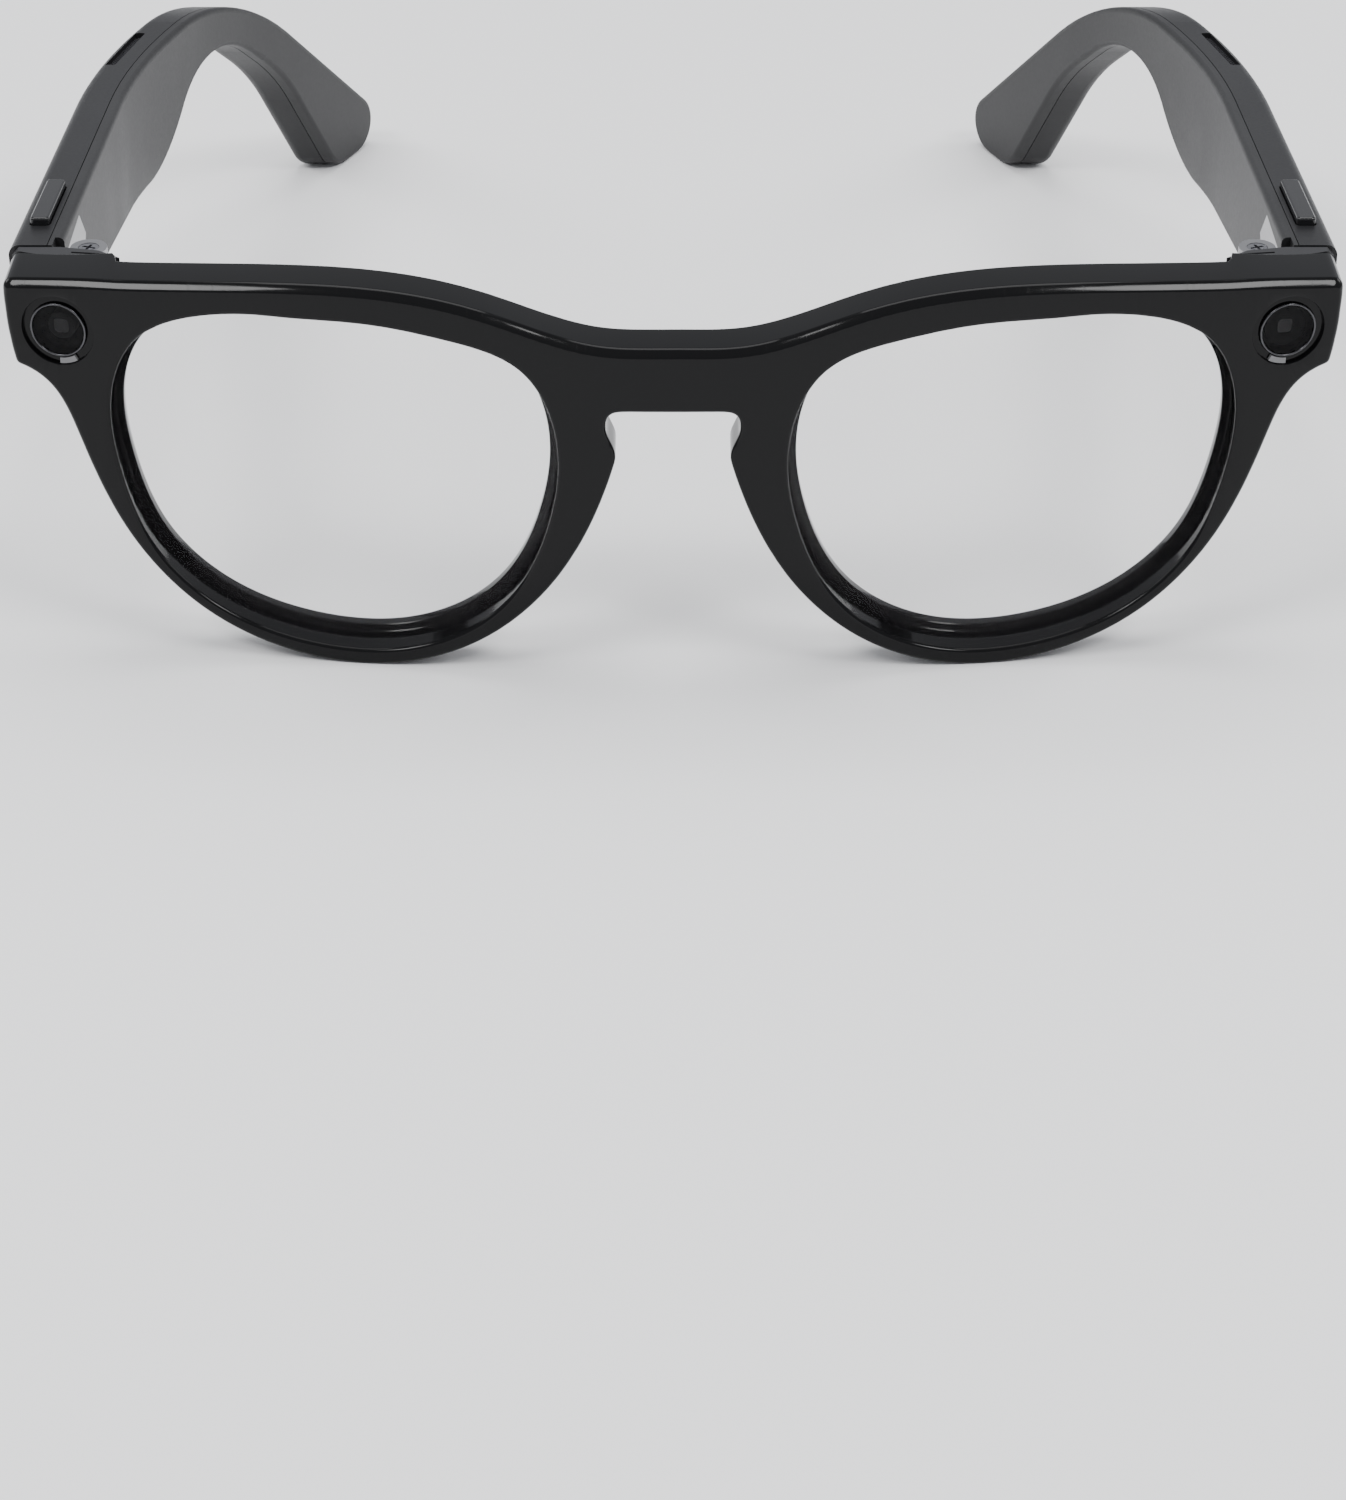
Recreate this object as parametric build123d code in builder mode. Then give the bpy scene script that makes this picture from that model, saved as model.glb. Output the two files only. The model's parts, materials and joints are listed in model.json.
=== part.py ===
"""Smart glasses: a keyhole-bridge frame with folding electronic temples.

Frame of the part, in millimetres: +X is the wearer's left, +Y runs back along the
temples and +Z is up.  The front stands upright, and the origin lies on the table
under the middle of the glasses, which rest on the two rim bottoms and temple tips.
Paired pieces are drawn on the wearer's left and mirrored for the right.
"""
import os
from math import atan2, cos, degrees, radians, sin, tan

from build123d import *

os.makedirs("parts", exist_ok=True)

# ---------------------------------------------------------------- driving sizes
front_y = -75.6  # bridge front, the foremost point of the glasses
bow_radius = 350.0  # the front is a shallow upright cylinder
front_thickness = 5.8
half_width = 74.4  # middle to the outer side of an endpiece
brow_height = 48.1
bridge_height = 41.5
endpiece_top = 46.3
endpiece_bottom = 35.8
top_bevel = 0.65  # polished facet along the brow

lens_centre_x = 38.1
lens_centre_z = 23.3
lens_gap = 0.12  # all round the lens in its rebate
lens_depth = 2.1  # lens front below the front face
lens_thickness = 2.0
ledge_width = 1.0  # lip behind the lens

hinge_plane = -59.2  # rear of the endpieces
hinge_gap = 0.25
pivot_x = 66.3
pivot_y = -56.5
barrel_radius = 2.1
screw_radius = 0.7
running_gap = 0.04
hinge_top = 45.0
knuckle_height = 2.7
knuckle_gap = 0.15
leaf_thickness = 0.9

temple_start = hinge_plane + hinge_gap
temple_inner = 69.0  # inner face of the straight part
temple_thickness = 6.0
temple_bend_y = -7.8  # the plan curve towards the head begins here
temple_bend_radius = 140.0
temple_bend_angle = 24.2
cover_thickness = 1.5
parting_gap = 0.1
wall = 1.25

button_length = 13.4
button_width = 2.2
button_proud = 0.9
button_travel = 0.5
button_y = -45.8
button_x = 72.4

window_x = 68.5
window_z = 40.65
window_radius = 3.3
bezel_width = 0.35

# Side outline of a temple: (y, z, corner radius) from the hinge along the top.
temple_side = [
    (temple_start, 46.4, 0),
    (42.9, 37.2, 48),
    (81.9, 0, 4.2),
    (65.3, 0, 5),
    (52.8, 20.2, 40),
    (34.6, 35.6, 18.5),
    (14.9, 22.8, 23),
    (temple_start, 35.6, 0),
]
# Lens opening, relative to the lens centre, clockwise from the outer top.
lens_outline = [
    (6.0, 20.9),
    (15.4, 20.1),
    (21.5, 17.0),
    (24.5, 11.7),
    (24.5, -0.5),
    (21.2, -9.9),
    (14.9, -16.4),
    (3.0, -20.9),
    (-8.7, -20.5),
    (-18.5, -14.7),
    (-24.1, -3.7),
    (-24.7, 8.7),
    (-21.1, 15.5),
    (-13.1, 18.9),
    (-4.1, 20.5),
]
# Upper outline of the front from the middle of the bridge to the endpiece.
brow_line = [(0, bridge_height), (8.2, 41.75), (20.5, 45.6), (44, brow_height), (61, 47.15)]
# Rim outline from the endpiece corner round the bottom to the nose notch.
rim_line = [
    (70.0, 33.7),
    (67.3, 27.6),
    (62.4, 15.2),
    (54.3, 5.9),
    (44.0, 1.0),
    (33.8, 0.0),
    (22.6, 3.5),
    (13.4, 12.1),
    (8.3, 21.9),
    (6.5, 27.4),
]
# Keyhole of the bridge from the nose notch to its flat top.
keyhole_line = [(7.5, 31.6), (7.2, 33.2), (5.0, 33.8)]
endpiece_corner = (73.7, 36.0)
# Middle of the wire channel behind the brow.
channel_line = [(0, 38.1), (12, 40.6), (22, 43.5), (42, 46.0), (56, 45.0), (64.5, 42.6)]

bow_y = front_y + bow_radius  # axis of the bowed front


def bow_at(x):
    """Y of the front face at a distance x from the middle."""
    return bow_y - (bow_radius**2 - x**2) ** 0.5


top_slope = degrees(atan2(temple_side[0][1] - temple_side[1][1], temple_side[1][0] - temple_start))
temple_top = Plane(
    origin=(0, temple_start, temple_side[0][1]),
    x_dir=(1, 0, 0),
    z_dir=(0, sin(radians(top_slope)), cos(radians(top_slope))),
)


def keep(piece, name):
    """Label a finished piece and write its file."""
    piece.part.label = name
    export_step(piece.part, f"parts/{name}.step")


def keep_pair(piece, name):
    """Write a piece for the wearer's left and its mirror image for the right."""
    with BuildPart() as twin:
        mirror(piece.part, about=Plane.YZ)
    keep(piece, f"left_{name}")
    keep(twin, f"right_{name}")


def upright(depth_at_middle):
    """Plane facing forwards, a given depth behind the bridge front."""
    return Plane.XZ.offset(-(front_y + depth_at_middle))


# ------------------------------------------------------------------ outlines
with BuildSketch(Plane.XZ) as front_outline:
    with BuildLine():
        brow = Spline(*brow_line, (half_width - 0.7, endpiece_top), tangents=[(1, 0), (1, -0.09)])
        corner = Line(brow @ 1, (half_width, endpiece_top - 0.7))
        side = Spline(corner @ 1, (half_width - 0.1, 40.6), endpiece_corner, tangents=[(0, -1), (-0.2, -1)])
        rim = Spline(side @ 1, *rim_line)
        keyhole = Spline(rim @ 1, *keyhole_line, tangents=[rim % 1, (-1, 0)])
        Line(keyhole @ 1, (0, keyhole_line[-1][1]))
        mirror(about=Plane.YZ)
    make_face()

with BuildSketch(Plane.XZ) as lens_opening:
    with BuildLine():
        Spline(
            *[(lens_centre_x + x, lens_centre_z + z) for x, z in lens_outline], periodic=True
        )
    make_face()


def smaller_opening(inset):
    """The lens opening drawn smaller by the same amount all round."""
    outline = lens_opening.sketch_local.edges()[0]
    middle = Vector(lens_centre_x, lens_centre_z)
    points = []
    for step in range(len(lens_outline) * 2):
        place = step / (len(lens_outline) * 2)
        point, heading = outline @ place, outline % place
        inwards = Vector(heading.Y, -heading.X)
        if inwards.dot(middle - point) < 0:
            inwards = -inwards
        points.append(point + inwards * inset)
    with BuildSketch(Plane.XZ) as opening:
        with BuildLine():
            Spline(*points, periodic=True)
        make_face()
    return opening


ledge_opening = smaller_opening(ledge_width)
lens_shape = smaller_opening(lens_gap)


def bowed_band(near, far, low=-2.0, high=60.0):
    """Upright ring between two depths behind the bowed front face."""
    with BuildPart() as band:
        with BuildSketch(Plane.XY.offset(low)):
            with Locations((0, bow_y)):
                Circle(bow_radius - near)
                Circle(bow_radius - far, mode=Mode.SUBTRACT)
        extrude(amount=high - low)
    return band.part


def through(sketch, near, far):
    """Extrude a front-facing outline between two depths behind the bridge front."""
    with BuildPart() as block:
        with BuildSketch(upright(near)):
            add(sketch)
        extrude(amount=-(far - near))
    return block.part


def mirrored(plane):
    """The same plane on the other side of the nose."""
    return Plane(
        origin=(-plane.origin.X, plane.origin.Y, plane.origin.Z),
        x_dir=(plane.x_dir.X, -plane.x_dir.Y, -plane.x_dir.Z),
        z_dir=(-plane.z_dir.X, plane.z_dir.Y, plane.z_dir.Z),
    )


# ----------------------------------------------------- endpieces and their covers
endpiece_inner = 62.0
arc_depth = 2.8  # thickest part of an endpiece cover
with BuildSketch(Plane.XY) as endpiece_plan:
    with BuildLine():
        rear = Polyline(
            (half_width + 2, hinge_plane),
            (temple_inner, hinge_plane),
            (64.6, hinge_plane - 0.9),
            (endpiece_inner, hinge_plane - arc_depth),
        )
        Polyline(rear @ 1, (endpiece_inner, bow_y - bow_radius), (half_width + 2, front_y), rear @ 0)
    make_face()
with BuildSketch(Plane.XY) as cover_plan:
    with BuildLine():
        seam = ThreePointArc(
            (half_width + 1, hinge_plane - 0.3),
            (70.4, hinge_plane - 2.1),
            (endpiece_inner, hinge_plane - arc_depth),
        )
        Polyline(
            seam @ 1,
            (64.6, hinge_plane - 0.9),
            (temple_inner, hinge_plane),
            (half_width + 1, hinge_plane),
            seam @ 0,
        )
    make_face()

with BuildPart() as endpiece_block:
    with BuildSketch(Plane.XY.offset(endpiece_bottom)):
        add(endpiece_plan.sketch)
    extrude(amount=endpiece_top - endpiece_bottom + 3)
    add(through(front_outline.sketch_local, -1, 30), mode=Mode.INTERSECT)
    add(bowed_band(2.0, 40.0), mode=Mode.INTERSECT)
    add(through(lens_opening.sketch_local, -1, 30), mode=Mode.SUBTRACT)
with BuildPart() as cover_space:
    with BuildSketch(Plane.XY):
        add(cover_plan.sketch)
    extrude(amount=60)

window_turn = degrees(atan2(window_x, bow_y - bow_at(window_x)))
window_plane = Plane(
    origin=(window_x, bow_at(window_x), window_z),
    x_dir=(cos(radians(window_turn)), sin(radians(window_turn)), 0),
    z_dir=(sin(radians(window_turn)), -cos(radians(window_turn)), 0),
)
recess_radius = window_radius + 0.85
recess_depth = 0.5
glass_radius = window_radius - bezel_width
glass_thickness = 0.9
barrel_bore = 2.5
pocket_wall = 2.2  # front wall left in front of the electronics pocket
pocket_size = (7.6, 7.0)
light_pipe_turn = -104.0  # direction of the small light from the window's middle
light_pipe_spread = 30.0

with BuildPart() as electronics_pocket:
    with BuildSketch(window_plane.offset(-pocket_wall)):
        RectangleRounded(*pocket_size, 0.8)
    extrude(amount=-12)

# ------------------------------------------------------------------ nose pads
pad_size = (2.0, 4.4, 7.4)  # half width, half depth and half height
pad_place = Location((11.2, front_y + 5.9, 20.0), (0, -26, -12))
with BuildPart() as nose_pad:
    Sphere(1)
    scale(by=pad_size)
nose_pad_solid = pad_place * nose_pad.part

# ---------------------------------------------------------------- front frame
channel_width = 1.5
channel_front = 3.0  # depth of the wire channel's floor behind the front face
channel_cover = 0.6
cover_ledge = 0.45
contact_radius = 1.1
contact_x = 3.6
contact_seat_z = 35.9
contact_thickness = 0.7

with BuildSketch(Plane.XZ) as channel_shape:
    with BuildLine() as channel_middle:
        Spline(*channel_line, tangents=[(1, 0), (1, -0.55)])
        mirror(about=Plane.YZ)
    trace(channel_middle.line, channel_width)
with BuildSketch(Plane.XZ) as brow_cover_shape:
    trace(channel_middle.line, channel_width + 2 * cover_ledge)

with BuildPart() as front_frame:
    add(through(front_outline.sketch_local, -1, 30))
    add(bowed_band(0, front_thickness), mode=Mode.INTERSECT)
    brow_edge = front_frame.faces().sort_by(Axis.Y)[0].outer_wire().edges().sort_by(SortBy.LENGTH)[-1]
    chamfer(brow_edge, top_bevel)
    add(through(lens_opening.sketch_local, -1, 30), mode=Mode.SUBTRACT)
    add(mirror(through(lens_opening.sketch_local, -1, 30), about=Plane.YZ, mode=Mode.PRIVATE), mode=Mode.SUBTRACT)
    opening_edges = front_frame.faces().sort_by(Axis.Y)[0].inner_wires().edges()
    fillet(opening_edges, 0.5)
    # lip that each lens rests against
    lip = through(lens_opening.sketch_local, -1, 30) - through(ledge_opening.sketch_local, -2, 31)
    lip &= bowed_band(lens_depth + lens_thickness + 0.1, front_thickness)
    add(lip)
    mirror(lip, about=Plane.YZ)
    # endpieces, with a pocket open to the rear behind each window
    for part in (endpiece_block.part, nose_pad_solid):
        add(part)
        mirror(part, about=Plane.YZ)
    for part in (cover_space.part, electronics_pocket.part):
        add(part, mode=Mode.SUBTRACT)
        mirror(part, about=Plane.YZ, mode=Mode.SUBTRACT)
    for side_plane in (window_plane, mirrored(window_plane)):
        for radius, depth in (
            (recess_radius, recess_depth),
            (window_radius, recess_depth + glass_thickness),
            (barrel_bore, pocket_wall + 1),
        ):
            with BuildSketch(side_plane.offset(1)):
                Circle(radius)
            extrude(amount=-(depth + 1), mode=Mode.SUBTRACT)
    # wire channel behind the brow, and the seat of its cover
    add(through(channel_shape.sketch_local, 0, 30) & bowed_band(channel_front, 20), mode=Mode.SUBTRACT)
    add(
        through(brow_cover_shape.sketch_local, 0, 30) & bowed_band(front_thickness - channel_cover, 20),
        mode=Mode.SUBTRACT,
    )
    # seats of the charging contacts, on the rear of the bridge
    with BuildSketch(upright(front_thickness - contact_thickness)):
        with Locations((-contact_x, contact_seat_z), (contact_x, contact_seat_z)):
            Circle(contact_radius)
    extrude(amount=-5, mode=Mode.SUBTRACT)
keep(front_frame, "front_frame")

with BuildPart() as endpiece_cover:
    add(cover_space.part)
    with BuildSketch(Plane.XY.offset(endpiece_bottom)):
        Rectangle(2 * half_width, 150)
    extrude(amount=endpiece_top - endpiece_bottom, mode=Mode.INTERSECT)
    add(through(front_outline.sketch_local, -1, 30), mode=Mode.INTERSECT)

# ------------------------------------------------------------------- hinges
arm_half = 1.5
plate_front = (63.9, 68.6)  # across, on the endpiece cover
plate_thickness = 0.9
plate_low = 37.0
plate_high = 44.4
knuckles = []
for level in range(3):
    top = hinge_top - level * (knuckle_height + knuckle_gap)
    knuckles.append((top - knuckle_height, top))
head_radius = 1.15
head_height = 0.6
leaf_length = 16.4
leaf_low = 36.9
leaf_high = 43.9
leaf_screw_radius = 0.6
leaf_screw_places = [(temple_start + 6.6, 40.4), (temple_start + 11.4, 40.4)]


def knuckle(bottom, top, arm_corners):
    """A hinge barrel section with its arm, on the pivot."""
    with BuildPart() as section:
        with BuildSketch(Plane.XY.offset(bottom)):
            with Locations((pivot_x, pivot_y)):
                Circle(barrel_radius)
            with BuildLine():
                Polyline(*arm_corners, close=True)
            make_face()
            with Locations((pivot_x, pivot_y)):
                Circle(screw_radius + running_gap, mode=Mode.SUBTRACT)
        extrude(amount=top - bottom)
    return section.part


plate_rear = hinge_plane - 0.15
with BuildPart() as front_plate:
    with BuildSketch(Plane.XY.offset(plate_low)):
        with BuildLine():
            Polyline(
                (plate_front[0], plate_rear - 0.9),
                (plate_front[1], plate_rear),
                (plate_front[1], plate_rear - plate_thickness),
                (plate_front[0], plate_rear - 0.9 - plate_thickness),
                close=True,
            )
        make_face()
    extrude(amount=plate_high - plate_low)
front_arm = [
    (pivot_x - arm_half, plate_rear - 0.7),
    (pivot_x + arm_half, plate_rear - 0.5),
    (pivot_x + arm_half, pivot_y),
    (pivot_x - arm_half, pivot_y),
]
leaf_outer = temple_inner + leaf_thickness
temple_arm = [
    (pivot_x, pivot_y - arm_half),
    (leaf_outer, pivot_y - arm_half),
    (leaf_outer, pivot_y + arm_half),
    (pivot_x, pivot_y + arm_half),
]

with BuildPart() as hinge_front_leaf:
    add(front_plate.part)
    add(knuckle(*knuckles[0], front_arm))
    add(knuckle(*knuckles[2], front_arm))
    with BuildSketch(Plane.XY.offset(hinge_top - head_height)):
        with Locations((pivot_x, pivot_y)):
            Circle(head_radius + running_gap)
    extrude(amount=head_height, mode=Mode.SUBTRACT)

with BuildPart() as hinge_screw:
    with BuildSketch(Plane.XY.offset(knuckles[2][0])):
        with Locations((pivot_x, pivot_y)):
            Circle(screw_radius)
    extrude(amount=hinge_top - knuckles[2][0])
    with BuildSketch(Plane.XY.offset(hinge_top - head_height + 0.05)):
        with Locations((pivot_x, pivot_y)):
            Circle(head_radius)
    extrude(amount=head_height - 0.1)
    with BuildSketch(Plane.XY.offset(hinge_top)):
        with Locations((pivot_x, pivot_y)):
            Rectangle(1.6, 0.32, rotation=20)
            Rectangle(1.6, 0.32, rotation=110)
    extrude(amount=-0.35, mode=Mode.SUBTRACT)

with BuildPart() as hinge_temple_leaf:
    with BuildSketch(Plane.YZ.offset(temple_inner)):
        with BuildLine():
            Polyline(
                (temple_start + 0.3, leaf_low),
                (temple_start + 0.3, leaf_high),
                (temple_start + 0.3 + leaf_length * 0.8, leaf_high),
                (temple_start + 0.3 + leaf_length, leaf_high - 3.8),
                (temple_start + 0.3 + leaf_length * 0.8, leaf_low),
                close=True,
            )
        make_face()
    extrude(amount=leaf_thickness)
    add(knuckle(*knuckles[1], temple_arm))
    # bore for the pivot screw
    with BuildSketch(Plane.XY.offset(leaf_low)):
        with Locations((pivot_x, pivot_y)):
            Circle(screw_radius + running_gap)
    extrude(amount=10, mode=Mode.SUBTRACT)
    with BuildSketch(Plane.YZ.offset(temple_inner - 1)):
        with Locations(*leaf_screw_places):
            Circle(leaf_screw_radius)
    extrude(amount=5, mode=Mode.SUBTRACT)

with BuildPart() as temple_leaf_screws:
    with BuildSketch(Plane.YZ.offset(temple_inner + 0.05)):
        with Locations(*leaf_screw_places):
            Circle(leaf_screw_radius)
    extrude(amount=cover_thickness + 0.6)
    with BuildSketch(Plane.YZ.offset(temple_inner + 0.05)):
        with Locations(*leaf_screw_places):
            SlotOverall(0.9, 0.25, rotation=35)
    extrude(amount=0.2, mode=Mode.SUBTRACT)
with BuildPart() as leaf_screw_bores:
    with BuildSketch(Plane.YZ.offset(temple_inner - 1)):
        with Locations(*leaf_screw_places):
            Circle(leaf_screw_radius)
    extrude(amount=cover_thickness + 1.65)

with BuildPart() as cover_with_plate_seat:
    add(endpiece_cover.part)
    add(hinge_front_leaf.part, mode=Mode.SUBTRACT)
    # thin wire slot in the top of the cover
    with BuildSketch(Plane.XY.offset(endpiece_top - 0.6)):
        with BuildLine():
            Line((63.6, hinge_plane - 1.9), (67.6, hinge_plane - 1.4))
        trace(line_width=0.35)
    extrude(amount=3, mode=Mode.SUBTRACT)
keep_pair(cover_with_plate_seat, "endpiece_cover")
keep_pair(hinge_front_leaf, "hinge_front_leaf")
keep_pair(hinge_screw, "hinge_screw")
keep_pair(hinge_temple_leaf, "hinge_temple_leaf")
keep_pair(temple_leaf_screws, "hinge_leaf_screws")

# -------------------------------------------------------------------- lenses
with BuildPart() as lens:
    add(through(lens_shape.sketch_local, -1, 30))
    add(bowed_band(lens_depth, lens_depth + lens_thickness), mode=Mode.INTERSECT)
keep_pair(lens, "lens")

# ------------------------------------------- camera, capture light and windows
def window_disc(outer, near, far, inner=0.0):
    """Round piece or ring standing in the left window, between two depths."""
    with BuildPart() as disc:
        with BuildSketch(window_plane.offset(-near)):
            Circle(outer)
            if inner:
                Circle(inner, mode=Mode.SUBTRACT)
        extrude(amount=-(far - near))
    return disc


glass_front = 0.25
board_depth = 6.9
bezel = window_disc(window_radius, 0.05, recess_depth + glass_thickness, glass_radius)
window_glass = window_disc(glass_radius, glass_front, glass_front + glass_thickness)
lens_barrel = window_disc(barrel_bore - 0.1, glass_front + glass_thickness + 0.15, 5.6, 0.8)
diffuser = window_disc(1.6, glass_front + glass_thickness + 0.2, 4.4)

with BuildPart() as sensor_board:
    with BuildSketch(window_plane.offset(-5.7)):
        RectangleRounded(pocket_size[0] - 0.8, pocket_size[1] - 0.8, 0.4)
    extrude(amount=-0.8)
with BuildPart() as light_pipe:
    with BuildSketch(window_plane.offset(-0.12)):
        with BuildLine():
            from_angle = light_pipe_turn - light_pipe_spread / 2
            inner_arc = CenterArc((0, 0), window_radius + 0.1, from_angle, light_pipe_spread)
            outer_arc = CenterArc((0, 0), recess_radius - 0.08, from_angle, light_pipe_spread)
            Line(inner_arc @ 0, outer_arc @ 0)
            Line(inner_arc @ 1, outer_arc @ 1)
        make_face()
    extrude(amount=-(recess_depth - 0.12))

keep_pair(bezel, "window_bezel")
keep_pair(window_glass, "window_glass")
keep_pair(light_pipe, "status_light_pipe")
keep(lens_barrel, "camera_lens_barrel")
keep(sensor_board, "camera_sensor_board")


def keep_right(piece, name):
    """Write only the mirror image of a piece drawn on the wearer's left."""
    with BuildPart() as twin:
        mirror(piece.part, about=Plane.YZ)
    keep(twin, name)


keep_right(diffuser, "capture_light_diffuser")
keep_right(sensor_board, "capture_light_board")

# --------------------------------------------------------- wiring of the front
with BuildSketch(Plane.XZ) as cable_shape:
    trace(channel_middle.line, channel_width - 0.5)
with BuildPart() as front_flex_cable:
    add(through(cable_shape.sketch_local, 0, 30))
    add(bowed_band(channel_front + 0.3, channel_front + 0.6), mode=Mode.INTERSECT)
keep(front_flex_cable, "front_flex_cable")

with BuildPart() as brow_cover:
    add(through(brow_cover_shape.sketch_local, 0, 30))
    add(bowed_band(front_thickness - channel_cover, front_thickness), mode=Mode.INTERSECT)
    for part in (endpiece_block.part, cover_space.part):
        add(part, mode=Mode.SUBTRACT)
        mirror(part, about=Plane.YZ, mode=Mode.SUBTRACT)
keep(brow_cover, "brow_cover")

with BuildPart() as charge_contacts:
    with BuildSketch(upright(front_thickness - contact_thickness)):
        with Locations((-contact_x, contact_seat_z), (contact_x, contact_seat_z)):
            Circle(contact_radius)
    extrude(amount=-(contact_thickness + 0.1))
    fillet(charge_contacts.faces().group_by(Axis.Y)[-1].edges(), 0.15)
keep(charge_contacts, "charge_contacts")

# ------------------------------------------------------------------- temples
tail_reach = 60.0  # length of the straight tail strip, cut by the side outline


def temple_strip(near, far):
    """Plan of a layer of the left temple, between two distances from its inner face."""
    with BuildSketch(Plane.XY) as strip:
        with BuildLine():
            ends = []
            for across in (near, far):
                start = (temple_inner + across, temple_start - 0.001)
                straight = Line(start, (temple_inner + across, temple_bend_y))
                bend = JernArc(
                    straight @ 1, straight % 1, temple_bend_radius + across, temple_bend_angle
                )
                tail = Line(bend @ 1, bend @ 1 + (bend % 1) * tail_reach)
                ends.append((start, tail @ 1))
            Line(ends[0][0], ends[1][0])
            Line(ends[0][1], ends[1][1])
        make_face()
    return strip.sketch


def temple_layer(side_face, near, far):
    """Solid with a temple side outline, between two distances from the inner face."""
    with BuildPart() as layer:
        with BuildSketch(Plane.XY):
            add(temple_strip(near, far))
        extrude(amount=60)
        with BuildSketch(Plane.YZ):
            add(side_face)
        extrude(amount=100, mode=Mode.INTERSECT)
    return layer.part


with BuildSketch(Plane.YZ) as temple_face:
    with BuildLine():
        Polyline(*[(y, z) for y, z, corner in temple_side], close=True)
    make_face()
    for y, z, corner in temple_side:
        if corner:
            fillet(temple_face.vertices().sort_by_distance((y, z))[0], corner)


def round_side_edges(solid, distance, radius):
    """Round the long edges of one side face of a temple."""
    side_faces = solid.faces().filter_by(
        lambda face: all(
            abs(across_temple(corner) - distance) < 0.02 for corner in face.vertices()
        )
    )
    edges = [edge for face in side_faces for edge in face.edges()]
    rim = []
    for edge in edges:
        shared = [other for other in edges if ((other @ 0.5) - (edge @ 0.5)).length < 0.001]
        if len(shared) == 1 and (edge @ 0.5).Y > temple_start + 0.01:
            rim.append(edge)
    return solid.fillet(radius, rim)


def across_temple(point):
    """Distance of a point outwards from the inner face of the left temple, in plan."""
    turn = radians(temple_bend_angle)
    centre_x = temple_inner - temple_bend_radius
    if point.Y <= temple_bend_y:
        return point.X - temple_inner
    along, out = point.Y - temple_bend_y, point.X - centre_x
    if atan2(along, out) < turn:
        return (along**2 + out**2) ** 0.5 - temple_bend_radius
    return out * cos(turn) + along * sin(turn) - temple_bend_radius


outer_round = 1.3
inner_round = 0.7
temple_solid = temple_layer(temple_face.sketch_local, 0, temple_thickness).solid()
temple_solid = round_side_edges(temple_solid, temple_thickness, outer_round)
temple_solid = round_side_edges(temple_solid, 0, inner_round)

top_wall = 1.7
cavity_rear = 33.0
cavity_front = temple_start + 4.5
with BuildSketch(Plane.YZ) as cavity_face:
    with BuildLine():
        Polyline(*[(y, z) for y, z, corner in temple_side], close=True)
    make_face()
    for y, z, corner in temple_side:
        if corner:
            fillet(cavity_face.vertices().sort_by_distance((y, z))[0], corner)
    offset(amount=-top_wall)
    with Locations(((cavity_front + cavity_rear) / 2, 30)):
        Rectangle(cavity_rear - cavity_front, 60, mode=Mode.INTERSECT)

shell_inner = cover_thickness + parting_gap
cavity_outer = temple_thickness - wall


def temple_place(y, across, z):
    """Plane on the left temple: x runs back along it, y is up and z faces outwards."""
    turn = 0.0
    x = temple_inner + across
    if y > temple_bend_y:
        turn = atan2(y - temple_bend_y, temple_bend_radius)
        x = temple_inner - temple_bend_radius + (temple_bend_radius + across) * cos(turn)
        y = temple_bend_y + (temple_bend_radius + across) * sin(turn)
    slope = radians(top_slope)
    along = Vector(-sin(turn) * cos(slope), cos(turn) * cos(slope), -sin(slope))
    return Plane(origin=(x, y, z), x_dir=along, z_dir=(cos(turn), sin(turn), 0))


def top_height(y):
    """Height of the temple's straight top edge."""
    return temple_side[0][1] - (y - temple_start) * tan(radians(top_slope))


# ----------------------------------------------- button, switch and speaker vent
button_plane = Plane(
    origin=(button_x, button_y, top_height(button_y)), x_dir=(1, 0, 0), z_dir=temple_top.z_dir
)
button_gap = 0.12
button_depth = 1.5
with BuildPart() as button:
    with BuildSketch(button_plane.offset(button_proud)):
        RectangleRounded(button_width, button_length, 0.5)
    extrude(amount=-(button_proud + button_depth))
    fillet(button.faces().sort_by(Axis.Z)[-1].edges(), 0.3)
with BuildPart() as button_hole:
    with BuildSketch(button_plane.offset(3)):
        RectangleRounded(button_width + 2 * button_gap, button_length + 2 * button_gap, 0.6)
    extrude(amount=-6)

switch_size = (2.0, 3.4, 1.2)
with BuildPart() as button_switch:
    with BuildSketch(button_plane.offset(-(button_depth + button_travel + 0.15))):
        Rectangle(switch_size[0], switch_size[1])
    extrude(amount=-switch_size[2])

vent_y = 14.0
vent_length = 14.0
vent_width = 1.3
vent_across = 4.3
vent_depth = 1.0
vent_top = temple_place(vent_y, vent_across, top_height(vent_y))
vent_plane = Plane(origin=vent_top.origin, x_dir=vent_top.z_dir, z_dir=vent_top.y_dir)
with BuildPart() as vent_slot:
    with BuildSketch(vent_plane.offset(2)):
        RectangleRounded(vent_width, vent_length, 0.3)
    extrude(amount=-(vent_depth + 2))
with BuildPart() as vent_holes:
    with BuildSketch(vent_plane):
        with GridLocations(1, 2.2, 1, 6):
            SlotOverall(1.6, 0.8, rotation=90)
    extrude(amount=-3.2)
with BuildPart() as speaker_mesh:
    with BuildSketch(vent_plane.offset(-vent_depth)):
        RectangleRounded(vent_width - 0.04, vent_length - 0.04, 0.28)
    extrude(amount=0.35)
    with BuildSketch(vent_plane):
        with GridLocations(0.42, 0.42, 2, 30):
            Circle(0.12)
    extrude(amount=-2, mode=Mode.SUBTRACT)

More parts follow.
